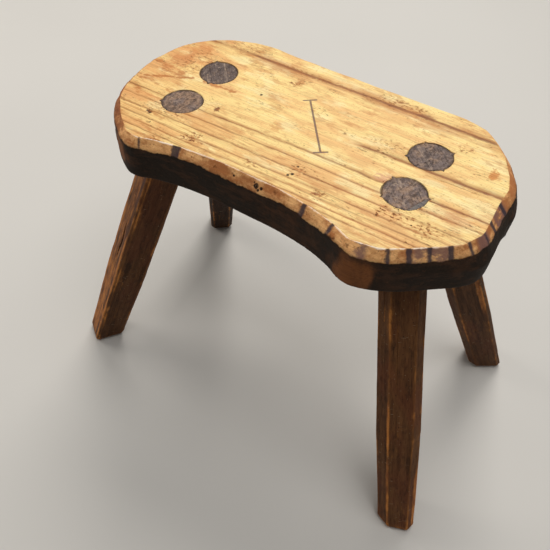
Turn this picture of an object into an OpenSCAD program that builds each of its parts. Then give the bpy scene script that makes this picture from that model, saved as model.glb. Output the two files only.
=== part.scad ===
// Low four-legged plank stool: a thick slab seat with a waisted front edge, and four splayed legs.
// Each leg is hewn from the billet in flats. Its head is turned down to a round tenon, which goes
// right through the slab and is cut off level with the top. A sliver is driven in beside one tenon.
//
// Millimetres. The floor is z = 0 and +Z is up. +X runs along the seat, and -Y is the waisted front.
// The origin is on the floor, below the middle of the four feet.

/* [Seat] */
// Height of the seat's top face above the floor
seat_h = 343; // [320:1:370]
// Thickness of the slab
slab_t = 42; // [34:0.5:44]
// Length of the top face, inside the worn edge
seat_l = 372; // [350:1:390]
// Distance from the middle line to the straight back edge
back_y = 96; // [92:0.5:100]
// Distance from the middle line to the front edge at the waist
waist_y = 80; // [74:0.5:86]
// Distance from the middle line to the horns, the front corners at the two ends of the waist
horn_y = 97; // [93:0.5:101]
// Distance along the seat from its middle to the left horn
horn_left_x = 117; // [110:0.5:120]
// Distance along the seat from its middle to the right horn
horn_right_x = 107; // [100:0.5:112]
// Width of the worn bevel round the top edge, seen from above
bevel_w = 7; // [4:0.5:9]
// Depth of the same bevel
bevel_h = 8; // [4:0.5:12]
// How far the side bulges beyond the bevel's lower edge at the left end
bulge_left = 2; // [0:0.5:4]
// How far the side bulges beyond the bevel's lower edge at the right end
bulge_right = 4; // [0:0.5:6]
// Depth below the top face at which the side is fullest
bulge_at = 20; // [14:1:26]
// Size of the small worn chamfer round the underside
under_chamfer = 1.5; // [0.5:0.5:4]

/* [Legs] */
// Distance from the middle of the seat to a tenon's centre, along the seat
tenon_x = 115; // [105:0.5:122]
// Distance from the middle of the seat to a tenon's centre, across the seat
tenon_y = 28; // [25:0.5:34]
// Distance from the middle of the stool to a foot's centre, along the seat
foot_x = 217; // [200:0.5:230]
// Distance from the middle of the stool to a foot's centre, across the seat
foot_y = 124; // [115:0.5:132]
// Diameter of the round tenon at the head of a leg
tenon_d = 38; // [34:1:39]
// Gap all round between a tenon and its bore
tenon_gap = 0.05; // [0.02:0.01:0.1]
// Width of an average leg across its flats, where it is thickest
leg_w = 40; // [38:1:44]
// Size of a leg at the floor, as a share of its full size
foot_share = 0.89; // [0.8:0.01:1]
// Size of a leg under the seat, as a share of its full size
shoulder_share = 0.95; // [0.9:0.01:1]
// Where a leg is thickest, as a share of the way up from the floor
belly_at = 0.34; // [0.2:0.01:0.6]

/* [Sliver] */
// Direction of the sliver from the middle of the front right tenon
sliver_dir = -22; // [-40:1:0]
// Distance from the tenon's axis to the flat that the sliver lies against, at the top face
sliver_at = 14; // [13:0.5:16]
// How far the sliver is driven in
sliver_l = 26; // [20:1:32]
// Angle of the flat, which thins the sliver on the way down
sliver_taper = 5; // [2:0.5:7]

/* [Hidden] */

PINE = "#c99a58";
LEG_WOOD = "#6b3d20";
SLIVER_WOOD = "#6f7072";

// Longer than anything here, for cutting tools that must run right through
FAR = 600;
// How far a slanting piece runs past the face that it is cut to
PAST = 30;
BORE_FACETS = 96;
// How closely the bulge keeps to the ends: an even power, greater for a shorter bulge
BULGE_POWER = 4;
// The bulge's size at the underside, as a share of its full size
UNDER_BULGE = 0.7;

under_z = seat_h - slab_t;
end_x = seat_l / 2;
bore_r = tenon_d / 2;
tenon_r = bore_r - tenon_gap;

// The legs, in the order of every list below
FRONT_LEFT = 0;
FRONT_RIGHT = 1;
BACK_LEFT = 2;
BACK_RIGHT = 3;
SIDES = [[-1, -1], [1, -1], [-1, 1], [1, 1]];

// The legs were bored and hewn by eye: how far each tenon and foot stands off its place, the size
// of each leg beside the average one, and its turn about its own axis
TENON_DRIFT = [[1, -1.5], [1.5, 1.5], [-1, 0.5], [-1.5, -0.5]];
FOOT_DRIFT = [[-1, -0.5], [-1.5, 0.5], [0.5, 2.5], [0, -2]];
LEG_SIZE = [0.95, 1.075, 0.9, 1.025];
LEG_TURN = [-34, 25, 40, 35];
// Corners cut off each leg's square section: right back, left back, left front, right front,
// as they lie before the leg is turned
CHAMFERS = [
    [3, 3.5, 3, 3],
    [8, 9, 11.5, 7.5],
    [5, 4.5, 5, 6],
    [6, 5, 8, 4.5]
];

// ---- the seat's outline ----

HORN_LEFT = [-horn_left_x, 1.5 - horn_y];
HORN_RIGHT = [horn_right_x, -1 - horn_y];

// The waist is nearly straight in the middle and turns out to a horn at each end
function waist_edge(x) =
    let (horn = x < 0 ? HORN_LEFT : HORN_RIGHT)
    -waist_y + (horn.y + waist_y) * pow(x / horn.x, 3);

// Each end is a blunt curve hewn in short flats: a rounded front corner, a nearly straight end and
// a rounded back corner. Shares of the seat's half length and of back_y, anticlockwise from above.
RIGHT_END = [[0.66, -0.99], [0.77, -0.87], [0.9, -0.66], [0.98, -0.51], [1.005, -0.38],
             [1, -0.15], [0.995, 0.09], [1, 0.21], [0.97, 0.42], [0.92, 0.6], [0.83, 0.81],
             [0.75, 0.94], [0.64, 1]];
LEFT_END = [[-0.38, 1.015], [-0.55, 1.035], [-0.73, 0.945], [-0.88, 0.76], [-0.957, 0.52],
            [-0.995, 0.25], [-0.995, -0.04], [-0.968, -0.32], [-0.914, -0.57], [-0.806, -0.8],
            [-0.7, -0.95]];

OUTLINE = concat(
    [HORN_LEFT],
    [for (x = [-96, -64, -32, 0, 32, 64, 90]) [x, waist_edge(x)]],
    [HORN_RIGHT],
    [for (p = RIGHT_END) [p.x * end_x, p.y * back_y]],
    [for (x = [75, 25, -25]) [x, back_y]],
    [for (p = LEFT_END) [p.x * end_x, p.y * back_y]]
);

// Points of a closed Catmull-Rom curve through p, in the given number of steps per span
function spline(p, steps) = [
    for (i = [0 : len(p) - 1], k = [0 : steps - 1])
        let (n = len(p), a = p[(i + n - 1) % n], b = p[i], c = p[(i + 1) % n], d = p[(i + 2) % n],
             t = k / steps)
        0.5 * (2 * b + (c - a) * t + (2 * a - 5 * b + 4 * c - d) * t * t
               + (3 * b - a - 3 * c + d) * t * t * t)
];

// An anticlockwise ring moved outwards by w
function grown(p, w) = [
    for (i = [0 : len(p) - 1])
        let (n = len(p), t = p[(i + 1) % n] - p[(i + n - 1) % n])
        p[i] + w * [t.y, -t.x] / norm(t)
];

// A ring pushed out along the seat at both ends, most at the very tips
function bulged(p, share) = [
    for (q = p)
        q + share * [(q.x < 0 ? -bulge_left : bulge_right) * pow(q.x / end_x, BULGE_POWER), 0]
];

function lifted(p, z) = [for (q = p) [q.x, q.y, z]];

// The mean of a ring's points
function middle(p) = [for (axis = [0 : 2]) [for (q = p) q[axis]] * [for (q = p) 1] / len(p)];

// A closed solid through rings of equal length, listed from the bottom up. Each end is closed with
// triangles round its middle, which suits any ring that can be seen whole from there, even one with
// a hollow side.
module loft(rings) {
    n = len(rings[0]);
    last = len(rings) - 1;
    top = last * n;
    bottom_middle = len(rings) * n;
    top_middle = bottom_middle + 1;
    polyhedron(
        points = concat([for (r = rings, q = r) q], [middle(rings[0]), middle(rings[last])]),
        faces = concat(
            [for (i = [0 : n - 1]) [bottom_middle, i, (i + 1) % n]],
            [for (i = [0 : n - 1]) [top_middle, top + (i + 1) % n, top + i]],
            [for (k = [0 : last - 1], i = [0 : n - 1])
                let (j = (i + 1) % n)
                [(k + 1) * n + i, (k + 1) * n + j, k * n + j, k * n + i]]
        )
    );
}

module slab() {
    top = spline(OUTLINE, 4);
    side = grown(top, bevel_w);
    loft([
        lifted(bulged(grown(top, bevel_w - under_chamfer), UNDER_BULGE), under_z),
        lifted(bulged(side, UNDER_BULGE), under_z + under_chamfer),
        lifted(bulged(side, 1), seat_h - bulge_at),
        lifted(side, seat_h - bevel_h),
        lifted(top, seat_h)
    ]);
}

// ---- the legs ----

// Where each leg's axis meets the top face and the floor
function tenon_at(i) = [SIDES[i].x * tenon_x, SIDES[i].y * tenon_y] + TENON_DRIFT[i];
function foot_at(i) = [SIDES[i].x * foot_x, SIDES[i].y * foot_y] + FOOT_DRIFT[i];

function reach(i) = let (d = tenon_at(i) - foot_at(i)) [d.x, d.y, seat_h];

// Puts children, made about +Z from the foot up, on a leg's slanting axis
module on_axis(i, turn = 0) {
    r = reach(i);
    heading = atan2(r.y, r.x);
    translate(foot_at(i))
        rotate([0, acos(r.z / norm(r)), heading])
            rotate([0, 0, turn - heading])
                children();
}

// A square of half width w with its corners cut off
function section(w, cut) = [
    [w, cut[3] - w], [w, w - cut[0]], [w - cut[0], w], [cut[1] - w, w],
    [-w, w - cut[1]], [-w, cut[2] - w], [cut[2] - w, -w], [w - cut[3], -w]
];

// The hewn part of a leg, run past the floor and the seat's underside
module hewn_body(i) {
    l = norm(reach(i));
    full = section(leg_w / 2 * LEG_SIZE[i], CHAMFERS[i]);
    thinning = (1 - foot_share) / (belly_at * l);
    on_axis(i, LEG_TURN[i])
        loft([
            lifted(full * (foot_share - thinning * PAST), -PAST),
            lifted(full, belly_at * l),
            lifted(full * shoulder_share, l)
        ]);
}

// A round bar on a leg's axis, from half way up the leg to just past the top face
module round_along(i, r) {
    l = norm(reach(i));
    on_axis(i)
        translate([0, 0, l / 2])
            cylinder(h = l / 2 + PAST, r = r, $fn = BORE_FACETS);
}

// Everything between two heights
module layer(low, high) {
    translate([-FAR / 2, -FAR / 2, low])
        cube([FAR, FAR, high - low]);
}

// Space for the sliver beside a tenon: everything outside its flat, from its point upwards
module sliver_side(i, clear = 0) {
    l = norm(reach(i));
    on_axis(i, sliver_dir)
        translate([sliver_at - clear, 0, l])
            rotate([0, -sliver_taper, 0])
                translate([0, -FAR / 2, -sliver_l - clear])
                    cube([FAR, FAR, FAR]);
}

// A whole leg: its foot is cut on the floor, its shoulder on the seat's underside, and its tenon
// level with the top face
module leg(i) {
    intersection() {
        hewn_body(i);
        layer(0, under_z);
    }
    intersection() {
        round_along(i, tenon_r);
        layer(under_z, seat_h);
    }
}

// ---- the nodes ----

module seat() {
    color(PINE)
        difference() {
            slab();
            for (i = [FRONT_LEFT : BACK_RIGHT])
                round_along(i, bore_r);
        }
}

module leg_front_left() {
    color(LEG_WOOD)
        leg(FRONT_LEFT);
}

module leg_front_right() {
    color(LEG_WOOD)
        difference() {
            leg(FRONT_RIGHT);
            sliver_side(FRONT_RIGHT, tenon_gap);
        }
}

module leg_back_left() {
    color(LEG_WOOD)
        leg(BACK_LEFT);
}

module leg_back_right() {
    color(LEG_WOOD)
        leg(BACK_RIGHT);
}

module sliver_front_right() {
    color(SLIVER_WOOD)
        intersection() {
            round_along(FRONT_RIGHT, tenon_r);
            sliver_side(FRONT_RIGHT);
            layer(under_z, seat_h);
        }
}

seat();
leg_front_left();
leg_front_right();
leg_back_left();
leg_back_right();
sliver_front_right();
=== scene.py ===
"""Looks of a hewn slab stool with four splayed legs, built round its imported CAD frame.

Every CAD node is copied, remeshed finely and worked by numpy and by booleans, as the real wood was by hand:
the seat's bevel is cut in flats, the legs are shaved, the tenon rims are ragged, and cracks, worm holes and
dents are carved in. Geometry is worked in millimetres in the frame's own axes and stored in metres.
X runs along the seat's grain, Y from its waisted front edge to its straight back edge, and Z up.
"""
import functools
import itertools
import math

import bmesh
import bpy
import numpy as np
from mathutils import Matrix, Vector


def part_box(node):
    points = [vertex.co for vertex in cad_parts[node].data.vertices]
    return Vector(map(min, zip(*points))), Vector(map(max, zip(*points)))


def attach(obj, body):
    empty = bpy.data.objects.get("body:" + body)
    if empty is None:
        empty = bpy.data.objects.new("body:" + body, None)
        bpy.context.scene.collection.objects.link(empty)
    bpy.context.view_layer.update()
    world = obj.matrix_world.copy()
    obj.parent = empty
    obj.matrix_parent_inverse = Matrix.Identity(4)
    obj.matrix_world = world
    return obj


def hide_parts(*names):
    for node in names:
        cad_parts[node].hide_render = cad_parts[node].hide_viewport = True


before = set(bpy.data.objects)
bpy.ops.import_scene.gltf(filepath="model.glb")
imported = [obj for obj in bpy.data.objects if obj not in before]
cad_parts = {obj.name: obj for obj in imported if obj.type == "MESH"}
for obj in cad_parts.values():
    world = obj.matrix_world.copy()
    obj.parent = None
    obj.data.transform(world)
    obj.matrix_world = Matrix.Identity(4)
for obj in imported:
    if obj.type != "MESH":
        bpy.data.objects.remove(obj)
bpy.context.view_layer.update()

MM = 0.001
FAR = 1000.0                # further, in millimetres, than any two places on the stool
LEGS = ("leg_front_left", "leg_front_right", "leg_back_left", "leg_back_right")
SLIVER = "sliver_front_right"

# ---- Meshing, in millimetres; no face of the CAD lies on a whole number of voxels ----
SEAT_VOXEL = 1.49
LEG_VOXEL = 0.97
SLIVER_VOXEL = 0.5

# ---- The seat's edge ----
FLAT_LENGTHS = (13, 27)     # the shortest and longest flats that the bevel was hewn in
ARRIS_INSET = 1.2           # how far in the top arris may wander
RIDGE_INSET = 0.6           # how far in the bevel's lower edge may wander
RIDGE_DROP = 1.6            # how far it may wander up or down
EDGE_GRIT = 0.1             # height of the edge's fine unevenness
EDGE_SWELL = 0.25           # height of its broad unevenness
LEFT_GOUGES = 0.5           # height of the tool marks at its left end
TOP_WEAR = 0.22             # half the height of the waves worn into the top
DENT_REACH = 12             # a dent moves nothing that lies further than this below the top
RING_SLACK = 0.05           # how near a height a CAD point has to be to count as on it
BORE_CLEARANCE = 27         # points nearer than this to a tenon's axis belong to its bore
HUB_CLEARANCE = 60          # points nearer than this to the seat's middle are not on its edge

# ---- The tenons' ragged rims, and the directions, in degrees, in which splinters reach out ----
RIM_SPURS = {
    "leg_front_left": (-150,),
    "leg_front_right": (143, 14, -133),
    "leg_back_left": (133, -83),
    "leg_back_right": (128, 46, -33, -150),
}
RIM_RADIUS = 19.0
RIM_SHRINK = -0.6           # how far the rim lies outside that radius between splinters
SPUR_REACH = 3.2
SPUR_WIDTH = 1.3
SPUR_FADE = 9.0             # how far outside the rim the push fades out
SPUR_DEPTH = 5.0            # depth over which it falls to about a third

# ---- The legs ----
SEAT_GAP = 1                # how far under the seat the shaving stops
SHAVED_OFF = 0.3            # how much the shaving takes off on the whole
NICKS = 9                   # how many nicks each leg has along its arrises
NICK_SIZE = (5.5, 2.6, 2.6)
NICK_DEPTHS = (0.3, 1)
FOOT_WEAR = 7.5             # radius of the worn edge round each foot
END_GRAIN_DEPTH = 2.5       # how far down a tenon its end grain reaches
CHECKS = 5                  # how many drying checks run outwards in each tenon's end
CHECK_START = 2.5           # how far from the end's middle they begin
CHECK_LENGTHS = (7, 13)
CHECK_WIDTHS = (0.2, 0.4)
CHECK_DEPTH = 2.2

# ---- The cutters ----
CRACK_STATIONS = 11         # cross-sections of a crack
CRACK_LIP = 0.6             # how far a crack's cutter stands out of the wood
PIT_SIDES = 10              # sides of a worm hole
HOLE_DEPTH = 5

# ---- The camera, the lights and the floor, in metres and degrees; the lens in millimetres ----
CAMERA_AZIMUTH = 34.26
CAMERA_ELEVATION = 49.70
CAMERA_ROLL = 0.15
CAMERA_DISTANCE = 0.5863
CAMERA_TARGET = Vector((0.025, -0.0785, 0.230))
LENS = 40.08
LIGHT_TARGET = Vector((0, 0, 0.25))
FLOOR_HALF = 40.0


# ======== Numbers and noise ========

def noise(points, size, seed):
    """Smooth noise from -1 to 1 with bumps about `size` apart: one number, or three for X, Y and Z."""
    table = np.random.default_rng(seed).random((32, 32, 32))
    place = points / np.asarray(size, float)
    cell = np.floor(place).astype(int)
    part = place - cell
    part = part * part * (3 - 2 * part)
    total = np.zeros(len(points))
    for corner in itertools.product((0, 1), repeat=3):
        weight = np.prod(np.where(corner, part, 1 - part), axis=1)
        i, j, k = ((cell + corner) % 32).T
        total += weight * table[i, j, k]
    return 2 * total - 1


def unit(vector):
    return np.asarray(vector, float) / np.linalg.norm(vector)


def heading(degrees):
    """The level direction at this angle from X."""
    turn = math.radians(degrees)
    return np.array([math.cos(turn), math.sin(turn), 0])


def ramp(value, low, high):
    """0 at low and 1 at high, smooth between."""
    t = np.clip((value - low) / (high - low), 0, 1)
    return t * t * (3 - 2 * t)


# ======== Mesh helpers ========

def add_object(name, data):
    """A new object in the scene."""
    thing = bpy.data.objects.new(name, data)
    bpy.context.scene.collection.objects.link(thing)
    return thing


def read(items, name, width, kind=float):
    """One property of every vertex or edge, as an array with a row for each."""
    flat = np.empty(len(items) * width, kind)
    items.foreach_get(name, flat)
    return flat.reshape(-1, width)


def points_of(piece):
    """The piece's vertices in millimetres."""
    return read(piece.data.vertices, "co", 3) / MM


def normals_of(piece):
    return read(piece.data.vertices, "normal", 3)


def move_points(piece, points):
    piece.data.vertices.foreach_set("co", (points * MM).ravel())
    piece.data.update()


def keep(piece, name, values):
    """Stores a number or a place for each vertex, for the materials to read."""
    values = np.asarray(values, np.float32)
    kind, field = ("FLOAT", "value") if values.ndim == 1 else ("FLOAT_VECTOR", "vector")
    piece.data.attributes.new(name, kind, "POINT").data.foreach_set(field, values.ravel())


def settle(piece):
    """Turns the piece's modifiers into its own mesh."""
    bpy.context.view_layer.update()
    evaluated = piece.evaluated_get(bpy.context.evaluated_depsgraph_get())
    worked = bpy.data.meshes.new_from_object(evaluated)
    piece.modifiers.clear()
    piece.data = worked


def copy_of(node, name):
    """A piece with the CAD node's shape and its doubled points merged."""
    mesh = bpy.data.meshes.new(name)
    work = bmesh.new()
    work.from_mesh(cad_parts[node].data)
    bmesh.ops.remove_doubles(work, verts=work.verts, dist=1e-6)
    work.to_mesh(mesh)
    work.free()
    return add_object(name, mesh)


def remesh(piece, voxel, softening):
    """Gives the piece an even, fine mesh on its old surface, and smooths its arrises `softening` times."""
    exact = add_object("exact", piece.data)
    step = piece.modifiers.new("remesh", "REMESH")
    step.mode = "VOXEL"
    step.voxel_size = voxel * MM
    piece.modifiers.new("hold", "SHRINKWRAP").target = exact
    soften = piece.modifiers.new("soften", "SMOOTH")
    soften.factor = 0.5
    soften.iterations = softening
    settle(piece)
    bpy.data.objects.remove(exact)


def averaged(points, edges, rounds):
    """The points after each has moved to its neighbours' mean, `rounds` times."""
    count = np.bincount(edges.ravel(), minlength=len(points))[:, None]
    for _ in range(rounds):
        total = np.zeros_like(points)
        np.add.at(total, edges[:, 0], points[edges[:, 1]])
        np.add.at(total, edges[:, 1], points[edges[:, 0]])
        points = total / count
    return points


def sharpness(piece, rounds):
    """How far each vertex stands proud of what lies round it: high on an arris, below 0 in a hollow."""
    points = points_of(piece)
    edges = read(piece.data.edges, "vertices", 2, int)
    return ((points - averaged(points, edges, rounds)) * normals_of(piece)).sum(1)


def carve(piece, cutters):
    """Takes the cutters, each a (points, faces) pair in millimetres, out of the piece in one boolean."""
    points, faces = [], []
    for cutter_points, cutter_faces in cutters:
        faces += [[i + len(points) for i in face] for face in cutter_faces]
        points += [tuple(np.array(p) * MM) for p in cutter_points]
    mesh = bpy.data.meshes.new("cutters")
    mesh.from_pydata(points, [], faces)
    tool = add_object("cutters", mesh)
    cut = piece.modifiers.new("carve", "BOOLEAN")
    cut.operation = "DIFFERENCE"
    cut.solver = "MANIFOLD"
    cut.object = tool
    settle(piece)
    piece.data.materials.clear()
    bpy.data.objects.remove(tool)


def loft(rings):
    """A cutter through rings of points: each ring is joined to the next, and both ends are closed."""
    sides = len(rings[0])
    last = (len(rings) - 1) * sides
    faces = []
    for start, i in itertools.product(range(0, last, sides), range(sides)):
        a, b = start + i, start + (i + 1) % sides
        faces.append([a, b, b + sides, a + sides])
    faces.append(list(range(sides))[::-1])
    faces.append(list(range(last, last + sides)))
    return [point for ring in rings for point in ring], faces


def crack(middle, along, out, length, width, depth, seed):
    """A cutter like a slender boat hull: a split `length` long that tapers to nothing at both ends."""
    random = np.random.default_rng(seed)
    along = unit(along)
    out = unit(out - np.dot(out, along) * along)
    across = np.cross(out, along)
    sway = averaged_line(random.normal(0, 0.35 * width + 0.15, CRACK_STATIONS))
    rings = []
    for share, shift in zip(np.linspace(0, 1, CRACK_STATIONS), sway):
        full = math.sin(math.pi * (0.02 + 0.96 * share)) ** 0.7
        centre = middle + along * (share - 0.5) * length + across * shift
        lip, half = centre + out * CRACK_LIP, across * full * width * 0.6
        rings.append((lip + half, lip - half, centre - out * full * depth))
    return loft(rings)


def averaged_line(values):
    padded = np.pad(values, 1, mode="edge")
    return (padded[:-2] + padded[1:-1] + padded[2:]) / 3


def pit(mouth, out, radius, depth):
    """A cutter for a worm hole or a nick: a round pit that narrows a little and ends blunt."""
    out = unit(out)
    side = unit(np.cross(out, (0.3, 0.9, 0.1)))
    other = np.cross(out, side)
    turns = [2 * math.pi * i / PIT_SIDES for i in range(PIT_SIDES)]
    circle = [(side * math.cos(turn) + other * math.sin(turn)) * radius for turn in turns]
    levels = ((0.5, 1), (-0.7 * depth, 0.85), (-depth, 0.3))
    return loft([[mouth + out * rise + arm * share for arm in circle] for rise, share in levels])


# ======== Where things are, from the frame ========

SEAT_LOW, SEAT_HIGH = (np.array(corner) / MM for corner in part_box("seat"))
TOP = float(SEAT_HIGH[2])
BOTTOM = float(SEAT_LOW[2])


def end_centre(node, height):
    """The middle of the leg's flat end at one height."""
    points = np.array([v.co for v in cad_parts[node].data.vertices]) / MM
    end = points[np.abs(points[:, 2] - height) < RING_SLACK]
    return (end.min(0) + end.max(0)) / 2


TENON = {leg: end_centre(leg, TOP) for leg in LEGS}
FOOT = {leg: end_centre(leg, 0.0) for leg in LEGS}


def axis_at(leg, heights):
    """The leg's axis in plan at each height."""
    share = ((TOP - heights) / TOP)[:, None]
    return TENON[leg][:2] + share * (FOOT[leg] - TENON[leg])[:2]


def from_axis(leg, points):
    """Each point's offset in plan from the leg's axis at its own height, and the offset's length."""
    offset = points[:, :2] - axis_at(leg, points[:, 2])
    return offset, np.hypot(*offset.T)


def with_ragged_rims(points):
    """The points moved as the tenons' ragged rims push them: the same for a tenon and for its bore."""
    moved = points.copy()
    for leg, directions in RIM_SPURS.items():
        offset, radius = from_axis(leg, points)
        radius = np.maximum(radius, 0.01)
        angle = np.arctan2(offset[:, 1], offset[:, 0])
        # Noise on a circle of the rim's radius depends only on direction
        circle = np.column_stack([offset / radius[:, None] * RIM_RADIUS, np.zeros(len(points))])
        reach = RIM_SHRINK + 0.4 * noise(circle, 9, 31)
        for direction in directions:
            turned = np.angle(np.exp(1j * (angle - math.radians(direction))))
            reach += SPUR_REACH * np.exp(-(turned * radius / SPUR_WIDTH) ** 2)
        inside = np.minimum(radius / RIM_RADIUS, 1) ** 3
        outside = 1 - ramp(radius, RIM_RADIUS, RIM_RADIUS + SPUR_FADE)
        depth = np.exp((points[:, 2] - TOP) / SPUR_DEPTH)
        share = inside * outside * depth * reach / radius
        moved[:, :2] += offset * share[:, None]
    return moved


def keep_shape(piece, node, points):
    """Moves the piece's vertices here, with the rims made ragged and none outside the CAD node's own box."""
    low, high = (np.array(corner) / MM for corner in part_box(node))
    move_points(piece, np.clip(with_ragged_rims(points), low, high))


def outside_rims(points, radius):
    """How far outside the ragged rims points are that lie this far from the nearest tenon's axis."""
    pushed = with_ragged_rims(points) - points
    return radius - RIM_RADIUS - np.hypot(pushed[:, 0], pushed[:, 1])


# ======== The seat ========

def rim_at(points, height):
    """Indices of the seat's outline points at one height, in order round it, without its bores' points."""
    on = np.abs(points[:, 2] - height) < RING_SLACK
    for leg in LEGS:
        on &= from_axis(leg, points)[1] > BORE_CLEARANCE
    on &= np.hypot(points[:, 0], points[:, 1]) > HUB_CLEARANCE
    found = np.flatnonzero(on)
    return found[np.argsort(np.arctan2(points[found, 1], points[found, 0]))]


def hewn_stations(length, random):
    """Distances along the edge, from 0 to its whole length, where one flat meets the next."""
    stations = [0.0]
    while stations[-1] < length - FLAT_LENGTHS[1]:
        stations.append(stations[-1] + random.uniform(*FLAT_LENGTHS))
    return np.array([*stations, length])


def hew_ring(points, ring, stations, inset, drop, random):
    """Moves one ring of the seat's edge onto straight flats that meet at the stations."""
    loop = points[np.append(ring, ring[0])]
    steps = np.linalg.norm(np.diff(loop, axis=0), axis=1)
    distance = np.append(0, np.cumsum(steps))
    stations = stations / stations[-1] * distance[-1]
    corner = np.column_stack([np.interp(stations, distance, loop[:, i]) for i in range(3)])
    inward = -corner[:, :2] / np.linalg.norm(corner[:, :2], axis=1)[:, None]
    corner[:-1, :2] += inward[:-1] * random.uniform(0, inset, (len(stations) - 1, 1))
    corner[:-1, 2] += random.uniform(-drop, drop, len(stations) - 1)
    corner[-1] = corner[0]
    for i in range(3):
        points[ring, i] = np.interp(distance[:-1], stations, corner[:, i])


def along_edge(points, arris):
    """In plan: how far each point is inside the arris, and how far round the arris its nearest place is."""
    inside = np.full(len(points), FAR)
    around = np.zeros(len(points))
    start = 0.0
    for here, after in zip(arris[:, :2], np.roll(arris[:, :2], -1, axis=0)):
        step = after - here
        length = np.hypot(*step)
        share = np.clip((points[:, :2] - here) @ step / length ** 2, 0, 1)
        gap = points[:, :2] - here - share[:, None] * step
        distance = np.hypot(*gap.T)
        side = step[0] * gap[:, 1] - step[1] * gap[:, 0]
        nearer = distance < np.abs(inside)
        inside = np.where(nearer, np.copysign(distance, side), inside)
        around = np.where(nearer, start + share * length, around)
        start += length
    return inside, around


def hewn_seat():
    """The seat's shape: flats hewn round its edge, then a fine, uneven mesh with ragged bores and wear."""
    seat = copy_of("seat", "seat_slab")
    random = np.random.default_rng(11)
    points = points_of(seat)
    heights = np.unique(points[:, 2].round(1))
    ridge_height = heights[np.searchsorted(heights, TOP - 1) - 1]
    top_ring = rim_at(points, TOP)
    ridge_ring = rim_at(points, ridge_height)
    length = np.linalg.norm(np.diff(points[top_ring], axis=0), axis=1).sum()
    stations = hewn_stations(length, random)
    hew_ring(points, top_ring, stations, ARRIS_INSET, 0, random)
    hew_ring(points, ridge_ring, stations, RIDGE_INSET, RIDGE_DROP, random)
    arris, ridge = points[top_ring], points[ridge_ring]
    move_points(seat, points)
    remesh(seat, SEAT_VOXEL, 1)

    points = points_of(seat)
    normals = normals_of(seat)
    turn = np.arctan2(points[:, 1], points[:, 0])
    ridge_turn = np.arctan2(ridge[:, 1], ridge[:, 0])
    above_ridge = points[:, 2] - np.interp(turn, ridge_turn, ridge[:, 2], period=2 * math.pi)
    inside, around = along_edge(points, arris)
    flats = np.searchsorted(stations, around) % len(stations)
    keep(seat, "above_ridge", above_ridge)
    keep(seat, "inside", inside)
    keep(seat, "to_band", to_bands(around, arris))
    keep(seat, "tint", tints(around, arris))
    keep(seat, "flat_tone", random.uniform(-1, 1, len(stations))[flats])
    upward = ramp(normals[:, 2], 0.85, 0.98)
    rough = EDGE_GRIT * noise(points, 7, 1) + EDGE_SWELL * noise(points, (24, 24, 16), 2)
    at_left = ramp(-points[:, 0], 135, 165) * (points[:, 1] < 20)
    rough += LEFT_GOUGES * noise(points, (5, 5, 4), 9) * at_left
    worn = TOP_WEAR * noise(points, (70, 22, 22), 3) - TOP_WEAR
    points = points + normals * (rough * (1 - upward) + worn * upward)[:, None]
    for x, y, radius, depth in SEAT_DENTS:
        distance = np.hypot(points[:, 0] - x, points[:, 1] - y)
        sunk = np.exp(-(distance / radius) ** 2) * (points[:, 2] > TOP - DENT_REACH)
        points[:, 2] -= sunk * depth
    keep_shape(seat, "seat", points)
    carve(seat, seat_cuts())
    return seat


def round_to(x, y, around, arris):
    """How far round the edge each place is from the one nearest to this X and Y."""
    return np.abs(around - along_edge(np.array([[x, y, TOP]]), arris)[1])


def to_bands(around, arris):
    """How far each place round the edge is from the nearest dark band of the bevel: below 0 inside one."""
    return np.min([round_to(x, y, around, arris) - width / 2 for x, y, width in BANDS], axis=0)


def tints(around, arris):
    """How much of the purple-grey tint each place round the edge has, from 0 to 1."""
    fades = [ramp(round_to(x, y, around, arris), 0.4 * half, half) for x, y, half in TINTS]
    return 1 - np.min(fades, axis=0)


# x, y, radius and depth of the dents in the seat's top
SEAT_DENTS = (
    (-129, -59, 2.6, 1.3),
    (57.5, -67.5, 2.2, 0.8),
    (-80, -20, 3, 0.6),
    (-40, 56, 5, 0.5),
    (87, -22, 7, 0.35),
    (118, -54, 4, 0.5),
    (133, -60, 3.5, 0.5),
    (-150, 22, 8, 0.5),
    (-70, -62, 3, 0.4),
)
# x, y and radius of the worm holes in the seat's top
WORM_HOLES = (
    (26, -61.5, 1.2),
    (28.5, -58.5, 1.3),
    (27.5, -48, 0.9),
    (-59, 21, 1.2),
    (10, 29, 0.6),
    (46, -74, 0.5),
    (-118, -71, 0.6),
    (121, -47, 0.6),
    (137, -57, 0.7),
    (109, -62, 0.6),
)


def seat_cuts():
    """Worm holes, checks and scratches in the seat."""
    up, forward = (0, 0, 1), (0, -0.7, 0.7)
    return [
        *(pit((x, y, TOP), up, radius, HOLE_DEPTH) for x, y, radius in WORM_HOLES),
        pit((9.5, -83.5, TOP - 4.5), forward, 1.3, 6),
        pit((13.5, -84, TOP - 4.2), forward, 0.8, 5),
        crack((-132, -57, TOP), (0.45, -1, 0), up, 8, 0.9, 1.6, 4),
        crack((150, 4.5, TOP), (1, 0.05, 0), up, 60, 0.35, 1.2, 5),
        crack((-165, -33, TOP), (1, 0.02, 0), up, 42, 0.3, 1.0, 6),
    ]


# ======== The legs ========

def leg_axes(leg):
    """The leg's own directions: along it from foot to tenon, and two across it."""
    along = unit(TENON[leg] - FOOT[leg])
    across = unit(np.cross(along, (0, 1, 0)))
    return along, across, np.cross(along, across)


def in_leg(leg, points):
    """The points in the leg's own axes, from its foot: along, across and across again."""
    return (points - FOOT[leg]) @ np.array(leg_axes(leg)).T


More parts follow.
